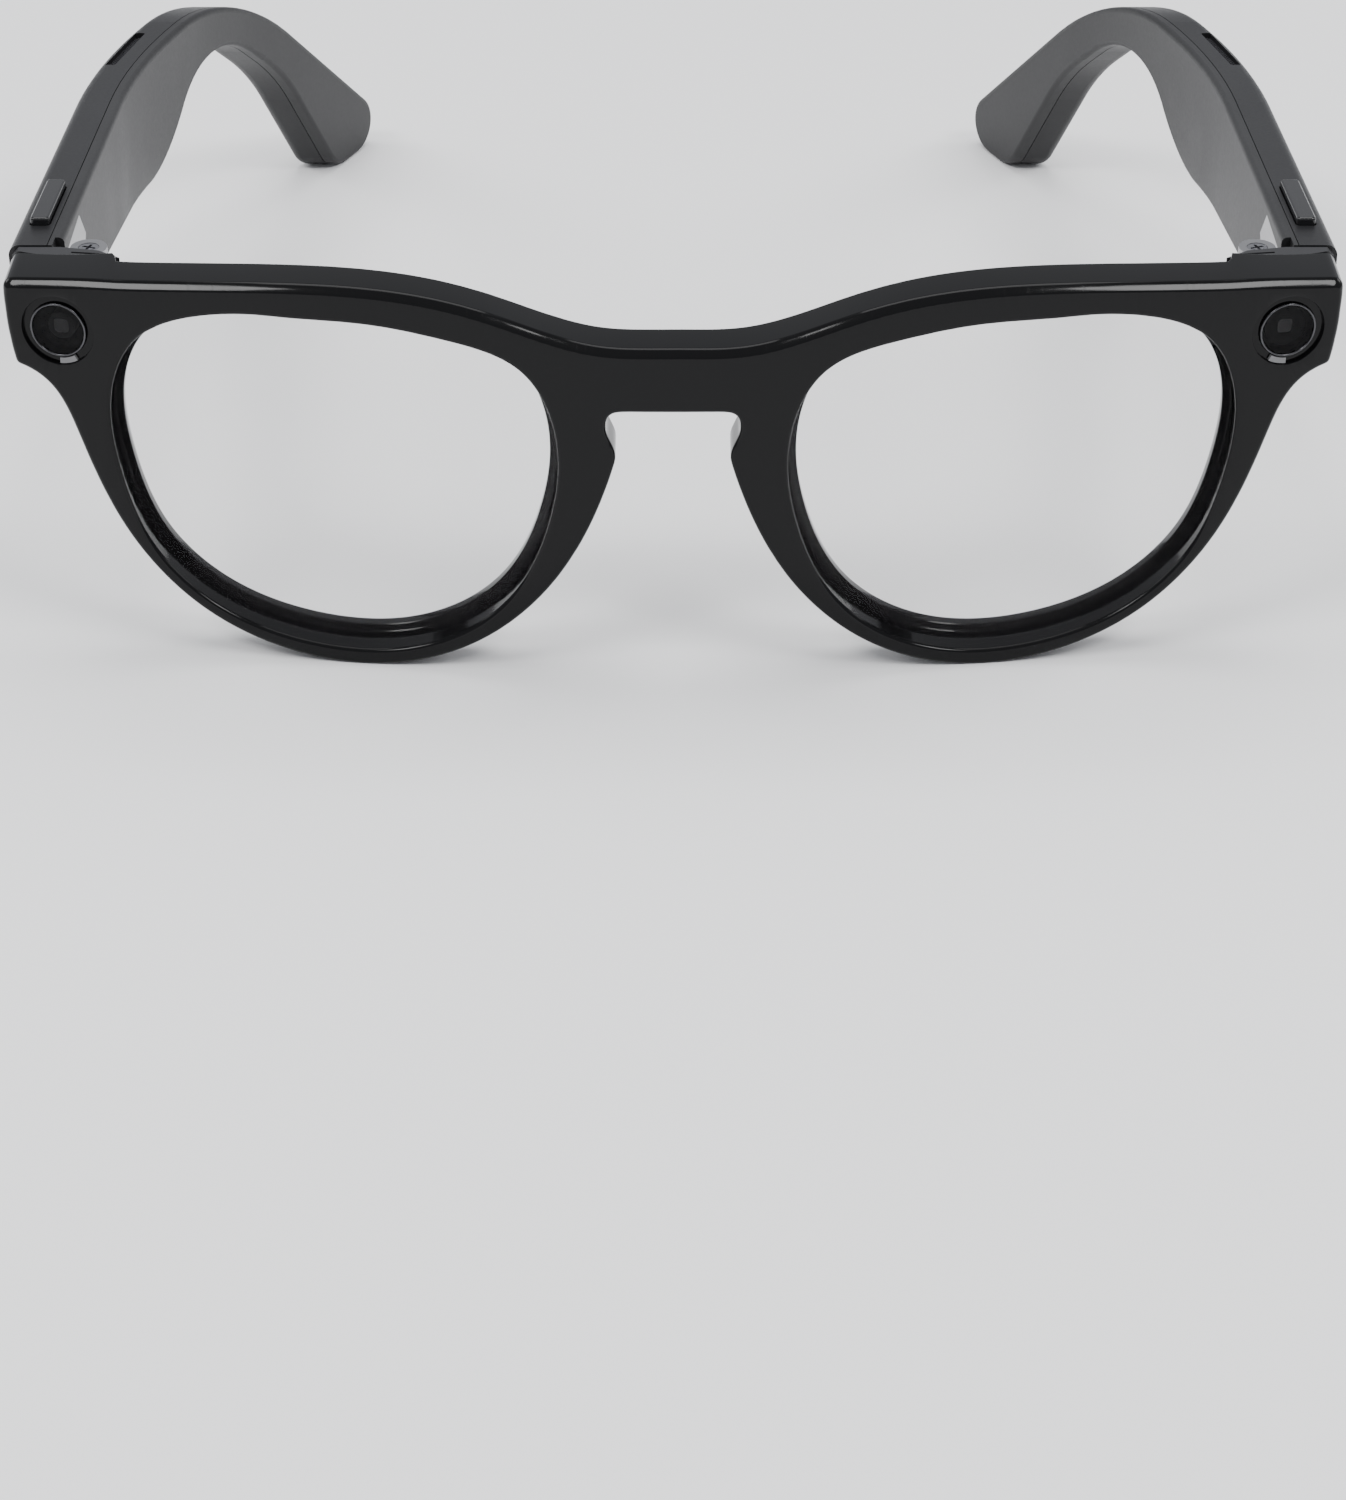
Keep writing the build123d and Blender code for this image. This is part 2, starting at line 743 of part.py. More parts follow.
# ------------------------------------------------- temple cover and outer shell
hinge_notch = 1.0
with BuildPart() as inner_cover:
    add(temple_solid)
    add(temple_layer(temple_face.sketch_local, -0.5, cover_thickness), mode=Mode.INTERSECT)
    add(hinge_temple_leaf.part, mode=Mode.SUBTRACT)
    add(leaf_screw_bores.part, mode=Mode.SUBTRACT)
    # notch over the hinge, at the top front corner
    with BuildSketch(Plane.YZ.offset(temple_inner - 1)):
        with Locations((temple_start, temple_side[0][1])):
            Rectangle(5.0, 3.4)
    extrude(amount=1 + hinge_notch, mode=Mode.SUBTRACT)

with BuildPart() as outer_shell:
    add(temple_solid)
    add(
        temple_layer(temple_face.sketch_local, shell_inner, temple_thickness + 1),
        mode=Mode.INTERSECT,
    )
    add(temple_layer(cavity_face.sketch_local, shell_inner - 0.5, cavity_outer), mode=Mode.SUBTRACT)
    add(button_hole.part, mode=Mode.SUBTRACT)
    add(vent_slot.part, mode=Mode.SUBTRACT)
    add(vent_holes.part, mode=Mode.SUBTRACT)
    add(leaf_screw_bores.part, mode=Mode.SUBTRACT)

keep_pair(outer_shell, "temple_shell")
keep_pair(inner_cover, "temple_inner_cover")
keep_pair(button, "temple_button")
keep_pair(button_switch, "button_switch")
keep_pair(speaker_mesh, "speaker_mesh")

# ---------------------------------------------------------- inside the temples
with BuildPart() as speaker:
    with BuildSketch(temple_place(12.0, shell_inner + 0.15, 32.6)):
        RectangleRounded(12.0, 6.0, 0.8)
    extrude(amount=2.6)
keep_pair(speaker, "speaker")

board_y = -25.0
board_z = 37.4
with BuildPart() as main_board:
    with BuildSketch(temple_place(board_y, shell_inner + 0.5, board_z)):
        RectangleRounded(35.0, 7.8, 0.6)
    extrude(amount=0.8)
keep(main_board, "left_main_board")
with BuildPart() as board_chips:
    with BuildSketch(temple_place(board_y, shell_inner + 1.3, board_z)):
        with Locations((-10, 0)):
            Rectangle(7, 6.4)
        with Locations((0, 0.4)):
            Rectangle(6, 6)
        with Locations((9, 1)):
            Rectangle(4.5, 4.5)
        with Locations((14.5, -1.6), (14.5, 1.6)):
            Rectangle(2.4, 1.6)
    extrude(amount=0.9)
keep(board_chips, "left_board_chips")

with BuildPart() as battery:
    with BuildSketch(temple_place(board_y, shell_inner + 0.15, board_z)):
        RectangleRounded(35.0, 7.6, 1.2)
    extrude(amount=2.3)
keep_right(battery, "right_battery")
with BuildPart() as touch_sensor:
    with BuildSketch(temple_place(board_y, cavity_outer - 0.3, board_z)):
        RectangleRounded(34.0, 7.6, 1.0)
    extrude(amount=0.2)
keep_right(touch_sensor, "right_touch_sensor")
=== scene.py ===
# %% [markdown]
# # A pair of smart glasses, dressed for the studio
#
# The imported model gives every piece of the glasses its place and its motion.  This lesson
# keeps those pieces where they are and gives them their looks: a polished front with
# rounded edges, clear lenses, satin temples, woven vents and small metal parts.
# One unit is a metre.  X points to the wearer's left, Y back along the temples, Z up.

# %% Load the frame
import json
import math

import bmesh
import bpy
import numpy as np
from mathutils import Matrix, Vector

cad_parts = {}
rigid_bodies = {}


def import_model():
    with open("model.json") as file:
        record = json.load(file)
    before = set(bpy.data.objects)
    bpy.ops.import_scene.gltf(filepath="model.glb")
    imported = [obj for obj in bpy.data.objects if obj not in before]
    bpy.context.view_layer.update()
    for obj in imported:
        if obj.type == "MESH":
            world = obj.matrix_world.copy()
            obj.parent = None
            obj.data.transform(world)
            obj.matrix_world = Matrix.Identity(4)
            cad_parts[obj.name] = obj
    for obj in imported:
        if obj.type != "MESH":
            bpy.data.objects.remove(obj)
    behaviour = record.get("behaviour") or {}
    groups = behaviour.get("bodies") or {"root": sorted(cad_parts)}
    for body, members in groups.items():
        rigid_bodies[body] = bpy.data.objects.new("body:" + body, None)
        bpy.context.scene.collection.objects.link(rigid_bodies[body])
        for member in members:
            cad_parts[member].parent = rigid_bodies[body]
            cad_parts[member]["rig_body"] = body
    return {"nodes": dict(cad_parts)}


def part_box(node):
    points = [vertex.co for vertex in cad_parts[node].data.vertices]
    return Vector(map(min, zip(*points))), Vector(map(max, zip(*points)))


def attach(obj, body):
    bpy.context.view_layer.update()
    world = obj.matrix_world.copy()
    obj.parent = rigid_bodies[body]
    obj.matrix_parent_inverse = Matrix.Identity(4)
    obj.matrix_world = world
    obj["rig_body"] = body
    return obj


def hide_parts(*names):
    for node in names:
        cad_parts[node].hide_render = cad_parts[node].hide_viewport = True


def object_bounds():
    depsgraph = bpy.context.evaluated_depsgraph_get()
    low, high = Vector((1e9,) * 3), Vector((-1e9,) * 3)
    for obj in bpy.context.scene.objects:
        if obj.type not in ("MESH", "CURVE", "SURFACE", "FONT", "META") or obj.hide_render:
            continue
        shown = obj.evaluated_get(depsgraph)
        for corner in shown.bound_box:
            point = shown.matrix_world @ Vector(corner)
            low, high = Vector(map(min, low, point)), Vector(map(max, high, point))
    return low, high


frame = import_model()
MM = 0.001
cad_low, cad_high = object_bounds()
SIDES = {"left": 1, "right": -1}
print("pieces in the frame:", len(frame["nodes"]))


# %% [markdown]
# ## Shader sums
#
# A finish is a sum: some base value plus a little noise, times a mask.  Nodes for such sums
# are slow to write one by one.  A small class that wraps a socket lets Python's own + - * /
# add the Math nodes, so that a finish reads like a formula.

# %% Values that add Math nodes
class Value:
    """A number that changes over a surface: the output socket of a node."""

    def __init__(self, finish, socket):
        self.finish = finish
        self.socket = socket

    def math(self, operation, *others, swap=False):
        """A Math node on this value, or with its terms swapped."""
        terms = [self, *others]
        if swap:
            terms.reverse()
        return self.finish.node("ShaderNodeMath", {"operation": operation}, *terms)

    def __add__(self, other):
        return self.math("ADD", other)

    def __sub__(self, other):
        return self.math("SUBTRACT", other)

    def __mul__(self, other):
        return self.math("MULTIPLY", other)

    def __rsub__(self, other):
        return self.math("SUBTRACT", other, swap=True)

    __radd__ = __add__
    __rmul__ = __mul__

    def above(self, edge, softness):
        """0 below the edge and 1 above it, with a soft step between."""
        step = {"interpolation_type": "SMOOTHSTEP"}
        return self.finish.node("ShaderNodeMapRange", step, self, edge - softness, edge + softness)


class Finish:
    """A material with a Principled surface and short ways to feed it."""

    def __init__(self, name, color, roughness, metallic=0.0, **fixed):
        self.material = bpy.data.materials.new(name)
        self.material.use_nodes = True
        self.tree = self.material.node_tree
        self.surface = self.tree.nodes["Principled BSDF"]
        self.place = self.tree.nodes.new("ShaderNodeTexCoord").outputs["Object"]
        self.surface.inputs["Base Color"].default_value = (*color, 1)
        self.surface.inputs["Roughness"].default_value = roughness
        self.surface.inputs["Metallic"].default_value = metallic
        for socket, number in fixed.items():
            self.surface.inputs[socket.replace("_", " ")].default_value = number

    def node(self, kind, settings, *values, output=0, **named):
        """Any node: its settings first, then the values or links of its sockets."""
        made = self.tree.nodes.new(kind)
        for setting, choice in settings.items():
            setattr(made, setting, choice)
        enabled = [socket for socket in made.inputs if socket.enabled]
        sockets = list(zip(enabled, values))
        sockets += [(made.inputs[key.replace("_", " ")], value) for key, value in named.items()]
        for socket, value in sockets:
            if isinstance(value, Value):
                value = value.socket
            if isinstance(value, bpy.types.NodeSocket):
                self.tree.links.new(value, socket)
            else:
                socket.default_value = value
        outputs = [socket for socket in made.outputs if socket.enabled]
        return Value(self, outputs[output])

    def noise(self, scale, detail=2.0, stretch=(1, 1, 1), turn=(0, 0, 0)):
        """Noise from 0 to 1 with grains of about 1 / scale metres."""
        place = self.node("ShaderNodeMapping", {}, self.place, Scale=stretch, Rotation=turn)
        return self.node("ShaderNodeTexNoise", {}, Vector=place, Scale=scale, Detail=detail)

    def mix(self, amount, first, second):
        """A colour between two colours."""
        kind = {"data_type": "RGBA"}
        return self.node("ShaderNodeMix", kind, amount, (*first, 1), (*second, 1))

    def feed(self, socket, value):
        """Let a value drive one socket of the surface."""
        self.tree.links.new(value.socket, self.surface.inputs[socket])

    def bump(self, height, distance):
        """Small relief, its height in metres at a value of 1."""
        relief = self.node("ShaderNodeBump", {}, Height=height, Distance=distance, Strength=1.0)
        self.feed("Normal", relief)


print("Value and Finish are ready")


# %% [markdown]
# ## The camera and the light
#
# The camera looks from a little above, through a long lens, so that the front keeps its
# shape.  Glossy black shows nothing but what it reflects, so the light does the drawing: two
# soft panels high in front run a bright line along the polished brow, and a pale surround
# gives the broad faces their even dark grey.

# %% Camera
BRIDGE_TO_CAMERA = Vector((0, -353.5, 180.4)) * MM
CAMERA_PITCH = math.radians(33.35)  # looking down
CAMERA_LENS = 86.4  # focal length, in millimetres
BRIDGE_HEIGHT = 41.5 * MM
bridge = Vector((0, cad_low.y, BRIDGE_HEIGHT))
camera_data = bpy.data.cameras.new("camera")
camera_data.lens = CAMERA_LENS
camera_data.clip_start = 10 * MM
camera = bpy.data.objects.new("camera", camera_data)
bpy.context.scene.collection.objects.link(camera)
camera.location = bridge + BRIDGE_TO_CAMERA
camera.rotation_euler = (math.pi / 2 - CAMERA_PITCH, 0, 0)
bpy.context.scene.camera = camera
print("camera stands at", [round(v, 4) for v in camera.location])

# %% Surround and soft panels
SURROUND_COLOR = (0.93, 0.95, 1.0, 1)
SURROUND_STRENGTH = 0.6
PANEL_AIM = (0, 0, 0.02)


def panel(name, place, size, power):
    """A soft rectangular light that faces a point."""
    light = bpy.data.lights.new(name, "AREA")
    light.shape = "RECTANGLE"
    light.size, light.size_y = size
    light.energy = power
    lamp = bpy.data.objects.new(name, light)
    bpy.context.scene.collection.objects.link(lamp)
    lamp.location = place
    lamp.rotation_euler = (Vector(PANEL_AIM) - Vector(place)).to_track_quat("-Z", "Y").to_euler()


world = bpy.data.worlds.new("surround")
world.use_nodes = True
world.node_tree.nodes["Background"].inputs["Color"].default_value = SURROUND_COLOR
world.node_tree.nodes["Background"].inputs["Strength"].default_value = SURROUND_STRENGTH
bpy.context.scene.world = world
for side in SIDES.values():
    panel("brow_panel", (0.52 * side, -0.45, 0.85), (0.34, 0.22), 4.5)
    panel("side_panel", (0.9 * side, 0.25, 0.55), (0.4, 0.4), 3)
panel("top_panel", (0, 0.2, 1.3), (0.9, 0.9), 11)

# %% Floor
FLOOR_REACH = 6.0
FLOOR_COLOR = (0.9, 0.9, 0.905)
floor_mesh = bpy.data.meshes.new("floor")
floor_corners = [(x * FLOOR_REACH, y * FLOOR_REACH, 0) for x, y in ((-1, -1), (1, -1), (1, 1), (-1, 1))]
floor_mesh.from_pydata(floor_corners, [], [(0, 1, 2, 3)])
floor = bpy.data.objects.new("floor", floor_mesh)
bpy.context.scene.collection.objects.link(floor)
floor_finish = Finish("floor_card", FLOOR_COLOR, 0.7)
floor_mesh.materials.append(floor_finish.material)
print("floor is", 2 * FLOOR_REACH, "m wide")


# %% [markdown]
# ## Outlines read from the model
#
# The front of the glasses is a bowed slab with two lens openings.  Its outline is already in
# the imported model, so it is read from there: the model's front is unrolled from its bow, cut
# at a chosen depth, and the cut edges are walked round as closed loops.

# %% Cut the model's front
BOW_RADIUS = 350 * MM
OUTLINE_DEPTH = 0.9 * MM  # ahead of the nose pads and behind the rounded edges
bow_axis_y = cad_low.y + BOW_RADIUS


def bow_at(x):
    """Y of the bowed front face at a distance x from the middle."""
    return bow_axis_y - math.sqrt(BOW_RADIUS**2 - x**2)


def cut_loops(node, depth):
    """Closed outlines, as arrays of (x, z), where a node is cut at a depth behind the bow."""
    mesh = bmesh.new()
    mesh.from_mesh(frame["nodes"][node].data)
    bmesh.ops.remove_doubles(mesh, verts=mesh.verts, dist=1e-6)
    for vert in mesh.verts:
        vert.co.y -= bow_at(vert.co.x)
    everything = mesh.verts[:] + mesh.edges[:] + mesh.faces[:]
    point, direction = (0, depth, 0), (0, 1, 0)
    cut = bmesh.ops.bisect_plane(mesh, geom=everything, plane_co=point, plane_no=direction, dist=1e-8)
    edges = dict.fromkeys(e for e in cut["geom_cut"] if isinstance(e, bmesh.types.BMEdge))
    loops = []
    while edges:
        first = edges.popitem()[0]
        loop, end = [first.verts[0]], first.verts[1]
        while end is not loop[0]:
            loop.append(end)
            follow = next((e for e in end.link_edges if e in edges), None)
            if follow is None:
                break
            edges.pop(follow)
            end = follow.other_vert(end)
        loops.append(np.array([(v.co.x, v.co.z) for v in loop]))
    mesh.free()
    return sorted(loops, key=lambda points: -np.ptp(points[:, 0]) - np.ptp(points[:, 1]))


front_outlines = cut_loops("front_frame", OUTLINE_DEPTH)
print("outlines in the front:", [len(points) for points in front_outlines])

# %% [markdown]
# ## Even, smooth outlines
#
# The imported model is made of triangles, so a cut through it has short and long spans, with
# small kinks between them.  A glossy edge shows every kink.  Each outline is therefore drawn
# again as a smooth curve, with a Hermite piece between each pair of points, and points are
# set out evenly along it.  A light running average then eases what is left.

# %% Smooth an outline
SHORTEST_SPAN = 0.02 * MM
FINE_STEP = 0.1 * MM
AVERAGE_REACH = 12  # points on each side


def area(points):
    """Signed area inside an outline: positive when it runs anticlockwise."""
    x, z = points.T
    return 0.5 * float(np.sum(x * np.roll(z, -1) - np.roll(x, -1) * z))


def smooth_loop(points, spacing, softness, corner=20):
    """The same outline through evenly spaced points, anticlockwise, with its corners eased."""
    if area(points) < 0:
        points = points[::-1]
    keep = np.linalg.norm(points - np.roll(points, 1, 0), axis=1) > SHORTEST_SPAN
    points = points[keep]
    ahead = np.roll(points, -1, 0) - points
    length = np.linalg.norm(ahead, axis=1)
    way = ahead / length[:, None]
    before, before_length = np.roll(way, 1, 0), np.roll(length, 1)
    share = (before_length / (before_length + length))[:, None]
    tangent = before * (1 - share) + way * share
    tangent /= np.linalg.norm(tangent, axis=1)[:, None]
    is_corner = np.sum(before * way, axis=1) < math.cos(math.radians(corner))
    leaving = np.where(is_corner[:, None], way, tangent)
    arriving = np.where(np.roll(is_corner, -1)[:, None], way, np.roll(tangent, -1, 0))
    fine = []
    for index, span in enumerate(length):
        steps = max(1, round(span / FINE_STEP))
        t = (np.arange(steps) / steps)[:, None]
        a, b = points[index], points[(index + 1) % len(points)]
        fine.append(
            (2 * t**3 - 3 * t**2 + 1) * a
            + (t**3 - 2 * t**2 + t) * span * leaving[index]
            + (3 * t**2 - 2 * t**3) * b
            + (t**3 - t**2) * span * arriving[index]
        )
    fine = np.concatenate(fine)
    hops = np.linalg.norm(np.diff(fine, axis=0, append=fine[:1]), axis=1)
    travelled = np.concatenate([[0], np.cumsum(hops)])
    fine = np.vstack([fine, fine[:1]])
    count = round(travelled[-1] / spacing)
    even = np.linspace(0, travelled[-1], count, endpoint=False)
    loop = np.stack([np.interp(even, travelled, fine[:, k]) for k in (0, 1)], 1)
    offsets = np.arange(-AVERAGE_REACH, AVERAGE_REACH + 1)
    weights = np.exp(-0.5 * (offsets * spacing / softness) ** 2)
    weights /= weights.sum()
    return sum(weight * np.roll(loop, int(shift), 0) for weight, shift in zip(weights, offsets))


def outward(loop):
    """Unit normals that point out of an anticlockwise outline."""
    along = np.roll(loop, -1, 0) - np.roll(loop, 1, 0)
    along /= np.linalg.norm(along, axis=1)[:, None]
    return np.stack([along[:, 1], -along[:, 0]], 1)


print("inside the front's outline, square mm:", round(abs(area(front_outlines[0])) / MM**2))


# %% [markdown]
# ## The polished front
#
# The real front is cut from one black sheet and tumbled until every edge is soft; the brow
# keeps a wider bevel that catches the light.  A Bevel modifier could round a plain slab, but
# it gives one width everywhere and struggles round the keyhole.  Here each outline becomes a
# stack of rings, one for each step of its edge profile, so that the bevel can grow along the
# brow and shrink round the rims.  The faces between the outlines are filled last, and the
# whole flat slab is then wrapped onto the bow.

# %% Sizes of the front
THICKNESS = 5.8 * MM
RIM_ROUND = 0.55 * MM
BROW_BEVEL = 1.0 * MM
REAR_ROUND = 0.45 * MM
LENS_ROUND = 0.5 * MM
LIP_FRONT = 4.15 * MM
LIP_WIDTH = 1.0 * MM
LIP_EDGE = 0.12 * MM
OUTLINE_STEP = 0.35 * MM
front = bmesh.new()


def ring(points, depths):
    """Corners at (x, z) points, each at its depth behind the unrolled front face."""
    depths = np.broadcast_to(depths, len(points))
    return [front.verts.new((x, depth, z)) for (x, z), depth in zip(points, depths)]


def join_rings(rings):
    """Quads between each ring and the next."""
    for near, far in zip(rings, rings[1:]):
        for index, vert in enumerate(near):
            front.faces.new((near[index - 1], vert, far[index], far[index - 1]))


def fill(rings):
    """Triangles between closed rings, which lie in one face."""
    edges = []
    for loop in rings:
        for index, vert in enumerate(loop):
            pair = (loop[index - 1], vert)
            edges.append(front.edges.get(pair) or front.edges.new(pair))
    made = bmesh.ops.triangle_fill(front, use_beauty=True, use_dissolve=False, edges=edges)
    return [face for face in made["geom"] if isinstance(face, bmesh.types.BMFace)]


def quarter(steps):
    """Steps round a quarter circle from a face to its wall: (inset, depth), as shares."""
    turns = np.linspace(0, math.pi / 2, steps + 1)
    return [(1 - math.sin(t), 1 - math.cos(t)) for t in turns]


print("a rounded edge has", len(quarter(5)), "rings")

# %% [markdown]
# ## The endpieces
#
# At its two ends the front grows thicker, to hold the windows and the hinges.  A separate
# crescent cover closes each end from behind, and the seam between them is part of a circle
# when seen from above.  Three points on that seam fix the circle.

# %% Depth of the rear face
cover_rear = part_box("left_endpiece_cover")[1].y
SEAM_POINTS = [(75.4, -0.3), (70.4, -2.1), (62.0, -2.8)]  # mm across, and behind cover_rear
ENDPIECE_INNER = 62.0 * MM
ENDPIECE_BOTTOM = 35.8 * MM
STEP_START = ENDPIECE_INNER + 0.05 * MM
STEP_RUN = 0.45 * MM
SEAM_GAP = 0.04 * MM


def circle_through(first, second, third):
    """Centre and radius of the circle through three points."""
    (ax, ay), (bx, by), (cx, cy) = first, second, third
    a_square, b_square, c_square = ax * ax + ay * ay, bx * bx + by * by, cx * cx + cy * cy
    twice_area = 2 * (ax * (by - cy) + bx * (cy - ay) + cx * (ay - by))
    centre_x = (a_square * (by - cy) + b_square * (cy - ay) + c_square * (ay - by)) / twice_area
    centre_y = (a_square * (cx - bx) + b_square * (ax - cx) + c_square * (bx - ax)) / twice_area
    return centre_x, centre_y, math.dist((centre_x, centre_y), first)


seam_points = [(x * MM, cover_rear + y * MM) for x, y in SEAM_POINTS]
seam_x, seam_y, seam_radius = circle_through(*seam_points)
seam_outer, seam_inner = seam_points[0][0], seam_points[-1][0]


def depth_of_rear(x, z):
    """Thickness of the front at a point: the endpieces reach back to their covers."""
    out = np.clip((abs(x) - STEP_START) / STEP_RUN, 0, 1)
    up = np.clip((z - ENDPIECE_BOTTOM + STEP_RUN) / STEP_RUN, 0, 1)
    across = min(max(abs(x), seam_inner), seam_outer) - seam_x
    seam_at = seam_y - math.sqrt(seam_radius**2 - across**2)
    return THICKNESS + float(out * up) * (seam_at - SEAM_GAP - bow_at(x) - THICKNESS)


print("endpiece thickness, mm:", round(depth_of_rear(70 * MM, 41 * MM) / MM, 2))

# %% [markdown]
# ## The outer edge
#
# Where the outline faces up, along the brow, its edge turns from a plain round into a flat
# bevel with soft corners.  That share of bevel is read from the outline's own direction, and
# then averaged along the edge so that the bevel fades in and out.

# %% Rings of the outer edge
BROW_START = 0.2  # upward part of the direction where the bevel begins
BROW_FADE = 0.5
FADE_POINTS = 15
BEVEL_PROFILE = [(1.0, 0.0), (0.86, 0.03), (0.72, 0.13), (0.28, 0.57), (0.1, 0.78), (0.0, 1.0)]
FRONT_STEPS = len(BEVEL_PROFILE) - 1
REAR_STEPS = 4
outline = smooth_loop(front_outlines[0], OUTLINE_STEP, 0.3 * MM)
normals = outward(outline)
brow_share = np.clip((normals[:, 1] - BROW_START) / BROW_FADE, 0, 1)
brow_share = brow_share**2 * (3 - 2 * brow_share)
kernel = np.hanning(FADE_POINTS) / np.hanning(FADE_POINTS).sum()
brow_share = np.convolve(np.pad(brow_share, FADE_POINTS // 2, mode="wrap"), kernel, mode="valid")
bevel_width = RIM_ROUND + (BROW_BEVEL - RIM_ROUND) * brow_share
outer_rings = []
for (round_in, round_down), (facet_in, facet_down) in zip(quarter(FRONT_STEPS), BEVEL_PROFILE):
    inset = bevel_width * (round_in + (facet_in - round_in) * brow_share)
    down = bevel_width * (round_down + (facet_down - round_down) * brow_share)
    outer_rings.append(ring(outline - normals * inset[:, None], down))
for share_in, share_down in reversed(quarter(REAR_STEPS)):
    points = outline - normals * share_in * REAR_ROUND
    rear = [depth_of_rear(x, z) - share_down * REAR_ROUND for x, z in points]
    outer_rings.append(ring(points, rear))
join_rings(outer_rings)
print("outer edge:", len(outline), "points round,", len(outer_rings), "rings")

# %% [markdown]
# ## The lens openings
#
# Each lens is pressed in from the front and stops against a thin lip at the rear.  The rings
# go round the front edge, straight back along the wall, in over the lip and out at the rear.

# %% Rings of the lens openings
lens_loops = [smooth_loop(points, OUTLINE_STEP, 0.25 * MM) for points in front_outlines[1:3]]
lens_rings = []
for loop in lens_loops:
    away = outward(loop)
    steps = [(-inwards * LENS_ROUND, down * LENS_ROUND) for inwards, down in quarter(FRONT_STEPS)]
    steps += [
        (0, LIP_FRONT - LIP_EDGE),
        (LIP_EDGE, LIP_FRONT),
        (LIP_WIDTH - LIP_EDGE, LIP_FRONT),
        (LIP_WIDTH, LIP_FRONT + LIP_EDGE),
    ]
    steps += [
        (LIP_WIDTH - share_in * REAR_ROUND, THICKNESS - share_down * REAR_ROUND)
        for share_in, share_down in reversed(quarter(REAR_STEPS))
    ]
    rings = [ring(loop - away * inwards, depth) for inwards, depth in steps]
    join_rings(rings)
    lens_rings.append(rings)
print("lens openings:", len(lens_rings), "of", len(lens_rings[0]), "rings")

# %% [markdown]
# ## The round windows
#
# One window covers the camera and the other the capture light.  Each is a stepped bore,
# square to the bowed face: a shallow dish, a seat for the metal ring and a deeper hole for
# what stands behind the glass.

# %% Round windows in the endpieces
bezel_low, bezel_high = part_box("left_window_bezel")
WINDOW_X = 68.5 * MM
window_z = (bezel_low.z + bezel_high.z) / 2
window_turn = math.asin(WINDOW_X / BOW_RADIUS)
DISH_STEPS = [(4.3, 0.0), (4.2, 0.04), (4.15, 0.15), (4.15, 0.5)]  # radius and depth, mm
SEAT_STEPS = [(3.33, 0.5), (3.33, 1.42)]
HOLE_STEPS = [(2.52, 1.42), (2.52, 5.0)]
WINDOW_POINTS = 72


def window_point(side, radius, angle, depth):
    """A point of a side's round window, in the model's own frame."""
    across = radius * math.cos(angle)
    x = WINDOW_X + across * math.cos(window_turn) - depth * math.sin(window_turn)
    y = bow_at(WINDOW_X) + across * math.sin(window_turn) + depth * math.cos(window_turn)
    return Vector((side * x, y, window_z + radius * math.sin(angle)))


window_rings = []
for side in SIDES.values():
    rings = []
    for radius, depth in DISH_STEPS + SEAT_STEPS + HOLE_STEPS:
        turns = np.linspace(0, 2 * math.pi, WINDOW_POINTS, endpoint=False)
        points = [window_point(side, radius * MM, turn, depth * MM) for turn in turns]
        depths = [p.y - bow_at(p.x) if depth else 0 for p in points]
        rings.append(ring([(p.x, p.z) for p in points], depths))
    join_rings(rings)
    front.faces.new(rings[-1])
    window_rings.append(rings)
print("windows:", len(window_rings))

# %% [markdown]
# ## The seat of the brow cover
#
# A ribbon cable runs through the brow from end to end, in a channel that a thin strip
# closes.  The strip lies flush in a shallow seat.  The seat follows the strip's own outline,
# a hair larger all round.

# %% Seat of the brow cover
COVER_CUT_DEPTH = 5.5 * MM
SEAT_SINK = 0.62 * MM
SEAT_CLEARANCE = 0.05 * MM
seat = smooth_loop(cut_loops("brow_cover", COVER_CUT_DEPTH)[0], OUTLINE_STEP, 0.08 * MM)
seat = seat + outward(seat) * SEAT_CLEARANCE
seat_rings = [ring(seat, THICKNESS), ring(seat, THICKNESS - SEAT_SINK)]
join_rings(seat_rings)
seat_floor = fill([seat_rings[-1]])
print("seat of the brow cover:", len(seat), "points")

# %% [markdown]
# ## Close the slab and bend it
#
# The front and rear faces are filled between the outlines.  A large flat triangle can't
# bend, so the faces are first sliced into upright strips.  Then every corner moves back by
# the depth of the bow at its place.

# %% Fill, slice and wrap
STRIP_WIDTH = 1.5 * MM
STRIPS_EACH_SIDE = 49
openings = [rings[0] for rings in lens_rings + window_rings]
front_faces = fill([outer_rings[0], *openings])
rear_faces = fill([outer_rings[-1], lens_rings[0][-1], lens_rings[1][-1], seat_rings[0]])


def slice_faces(faces, planes):
    """Cut faces along planes, so that they can bend there."""
    for point, direction in planes:
        corners = [vert for face in faces for vert in face.verts]
        sides = [edge for face in faces for edge in face.edges]
        parts = list(dict.fromkeys([*corners, *sides, *faces]))  # each once, in a fixed order
        cut = bmesh.ops.bisect_plane(front, geom=parts, plane_co=point, plane_no=direction, dist=1e-7)
        faces = [g for g in cut["geom"] if isinstance(g, bmesh.types.BMFace)]
    return faces


